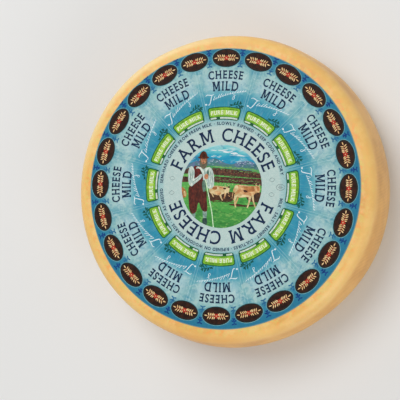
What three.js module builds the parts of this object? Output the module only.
// A whole wheel of cheese, lying flat, with its round paper label on the upper face.
// Millimetres, +Z up. The origin is the middle of the underside, on the surface the wheel rests on.
// The label reads with its top towards +Y.
import * as THREE from 'three';

// Wheel
const wheelDiameter = 300; // across the widest part of the side
const wheelHeight = 80;
const sideRadius = 150; // radius of the shallow arc that the side swells out in
const topEdgeRadius = 11; // rounding between the upper face and the side
const bottomEdgeRadius = 11; // rounding between the underside and the side

// Label
const labelInset = 2.6; // bare flat rind between the label and the start of the top rounding
const labelThickness = 0.3;
const labelGap = 0.3; // clearance between the label and the rind under it

// Fineness of the turned shapes
const wheelSegments = 96;
const labelSegments = 96;
const edgeSteps = 7; // chords along each rounding
const sideSteps = 12; // chords up the side

// A rounding of the given radius touches a flat face and the side's arc, which is centred at half height.
// This gives the radius at which its centre lies, where the flat face also ends, and the angle above or
// below the horizontal at which it meets the side.
function edgeFit(edgeRadius) {
  const rise = wheelHeight / 2 - edgeRadius;
  const reach = sideRadius - edgeRadius;
  const sideCentreR = wheelDiameter / 2 - sideRadius;
  return {
    centreR: sideCentreR + Math.sqrt(reach ** 2 - rise ** 2),
    meetAngle: Math.asin(rise / reach),
  };
}

// Points on a circle about (centreR, centreZ), from startAngle to endAngle, both included.
function arc(centreR, centreZ, radius, startAngle, endAngle, steps) {
  const points = [];
  for (let i = 0; i <= steps; i += 1) {
    const angle = startAngle + (endAngle - startAngle) * (i / steps);
    points.push(new THREE.Vector2(centreR + radius * Math.cos(angle), centreZ + radius * Math.sin(angle)));
  }
  return points;
}

// Half the wheel's section, from the axis on the underside, out round the side, to the axis on the top.
function wheelProfile() {
  const bottom = edgeFit(bottomEdgeRadius);
  const top = edgeFit(topEdgeRadius);
  const topCentreZ = wheelHeight - topEdgeRadius;
  const sideCentreR = wheelDiameter / 2 - sideRadius;
  const side = arc(sideCentreR, wheelHeight / 2, sideRadius, -bottom.meetAngle, top.meetAngle, sideSteps);
  return [
    new THREE.Vector2(0, 0),
    ...arc(bottom.centreR, bottomEdgeRadius, bottomEdgeRadius, -Math.PI / 2, -bottom.meetAngle, edgeSteps),
    ...side.slice(1, -1), // its ends are the roundings' own points
    ...arc(top.centreR, topCentreZ, topEdgeRadius, top.meetAngle, Math.PI / 2, edgeSteps),
    new THREE.Vector2(0, wheelHeight),
  ];
}

function labelProfile() {
  const labelRadius = edgeFit(topEdgeRadius).centreR - labelInset;
  return [
    new THREE.Vector2(0, 0),
    new THREE.Vector2(labelRadius, 0),
    new THREE.Vector2(labelRadius, labelThickness),
    new THREE.Vector2(0, labelThickness),
  ];
}

// A LatheGeometry turns its profile about Y, so it is stood up to turn about Z.
function turned(profile, segments) {
  return new THREE.LatheGeometry(profile, segments).rotateX(Math.PI / 2);
}

function cheeseWheel() {
  const rind = new THREE.MeshStandardMaterial({ color: 0xe3b473, roughness: 0.55, metalness: 0 });
  const mesh = new THREE.Mesh(turned(wheelProfile(), wheelSegments), rind);
  mesh.name = 'cheese_wheel';
  return mesh;
}

function paperLabel() {
  const paper = new THREE.MeshStandardMaterial({ color: 0x5fa9bd, roughness: 0.6, metalness: 0 });
  const mesh = new THREE.Mesh(turned(labelProfile(), labelSegments), paper);
  mesh.position.z = wheelHeight + labelGap;
  mesh.name = 'paper_label';
  return mesh;
}

const cheese = new THREE.Group();
cheese.add(cheeseWheel(), paperLabel());

export default cheese;
